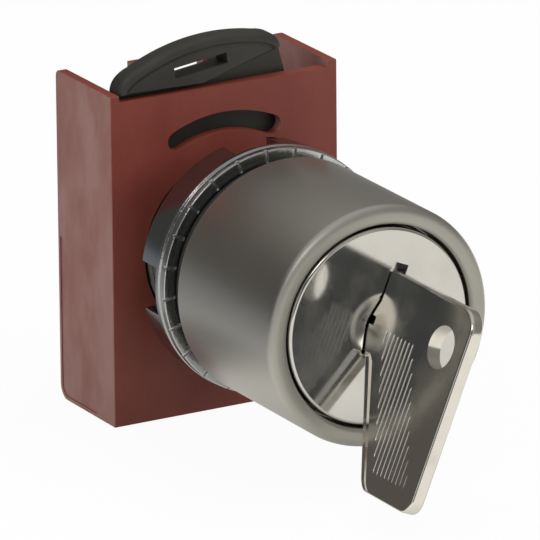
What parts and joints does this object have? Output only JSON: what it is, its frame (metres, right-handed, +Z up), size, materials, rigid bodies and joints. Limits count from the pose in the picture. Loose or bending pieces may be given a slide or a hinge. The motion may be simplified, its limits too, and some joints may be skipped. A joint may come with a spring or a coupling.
{
  "type": "key selector switch",
  "caption": "Panel-mounted key selector switch with a flag-shaped key, polished rotor disc, ring nut, rear holder and locking lever.",
  "frame": {"origin": "on the turning axis, at the rear face of the sealing gasket where it meets the panel", "axes": "-Y out of the panel towards the user, +X right and +Z up as seen by the user"},
  "size_m": [0.031, 0.0697, 0.0467],
  "materials": {
    "satin_chrome": "satin",
    "polished_steel": "polished",
    "bright_zinc": "bright, lightly pitted",
    "lock_brass": "machined",
    "lock_zinc": "as cast",
    "spring_steel": "drawn",
    "key_nickel": "plated, lightly worn",
    "seal_rubber": "matte",
    "holder_plastic": "moulded",
    "lever_plastic": "moulded",
    "cam_plastic": "moulded"
  },
  "bodies": {
    "operator": {"operator_body": "satin_chrome", "sealing_gasket": "seal_rubber", "ring_nut": "bright_zinc", "rotor_seal": "seal_rubber", "lock_housing": "lock_zinc", "clamp_ring": "spring_steel", "rear_guide": "cam_plastic", "guide_circlip": "spring_steel", "plunger_spring_left": "spring_steel", "plunger_spring_right": "spring_steel", "mounting_holder": "holder_plastic"},
    "rotor": {"rotor_disc": "polished_steel", "lock_plug": "lock_brass", "driver_cam": "lever_plastic", "plug_clip": "spring_steel"},
    "key": {"key": "key_nickel"},
    "wafer_1": {"wafer_1": "lock_brass"},
    "wafer_2": {"wafer_2": "lock_brass"},
    "wafer_3": {"wafer_3": "lock_brass"},
    "wafer_4": {"wafer_4": "lock_brass"},
    "wafer_5": {"wafer_5": "lock_brass"},
    "plunger_left": {"plunger_left": "cam_plastic"},
    "plunger_right": {"plunger_right": "cam_plastic"},
    "lock_lever": {"lock_lever": "lever_plastic"}
  },
  "joints": [
    {"name": "key_turn", "type": "hinge", "parent": "operator", "child": "rotor", "pos_m": [0, 0, 0], "axis": [0, 1, 0], "range_deg": [-45, 0]},
    {"name": "key_withdraw", "type": "slide", "parent": "rotor", "child": "key", "axis": [0, -1, 0], "range_m": [0, 0.03]},
    {"name": "wafer_1_drop", "type": "slide", "parent": "rotor", "child": "wafer_1", "axis": [-0.3827, 0, -0.9239], "range_m": [0, 0.0007]},
    {"name": "wafer_2_drop", "type": "slide", "parent": "rotor", "child": "wafer_2", "axis": [-0.3827, 0, -0.9239], "range_m": [0, 0.0007]},
    {"name": "wafer_3_drop", "type": "slide", "parent": "rotor", "child": "wafer_3", "axis": [-0.3827, 0, -0.9239], "range_m": [0, 0.0007]},
    {"name": "wafer_4_drop", "type": "slide", "parent": "rotor", "child": "wafer_4", "axis": [-0.3827, 0, -0.9239], "range_m": [0, 0.0007]},
    {"name": "wafer_5_drop", "type": "slide", "parent": "rotor", "child": "wafer_5", "axis": [-0.3827, 0, -0.9239], "range_m": [0, 0.0007]},
    {"name": "plunger_left_push", "type": "slide", "parent": "operator", "child": "plunger_left", "axis": [0, 1, 0], "range_m": [-0.003, 0], "deforming": ["plunger_spring_left"]},
    {"name": "plunger_right_push", "type": "slide", "parent": "operator", "child": "plunger_right", "axis": [0, 1, 0], "range_m": [-0.003, 0], "deforming": ["plunger_spring_right"]},
    {"name": "lever_swing", "type": "hinge", "parent": "operator", "child": "lock_lever", "pos_m": [0, 0, 0], "axis": [0, 1, 0], "range_deg": [0, 14.8]}
  ],
  "couplings": [
    {"joint": "plunger_left_push", "follows": "key_turn", "m_per_rad": 0.0038197},
    {"joint": "plunger_right_push", "follows": "key_turn", "m_per_rad": 0.0038197},
    {"joint": "wafer_2_drop", "follows": "wafer_1_drop", "ratio": 1},
    {"joint": "wafer_3_drop", "follows": "wafer_1_drop", "ratio": 1},
    {"joint": "wafer_4_drop", "follows": "wafer_1_drop", "ratio": 1},
    {"joint": "wafer_5_drop", "follows": "wafer_1_drop", "ratio": 1}
  ]
}
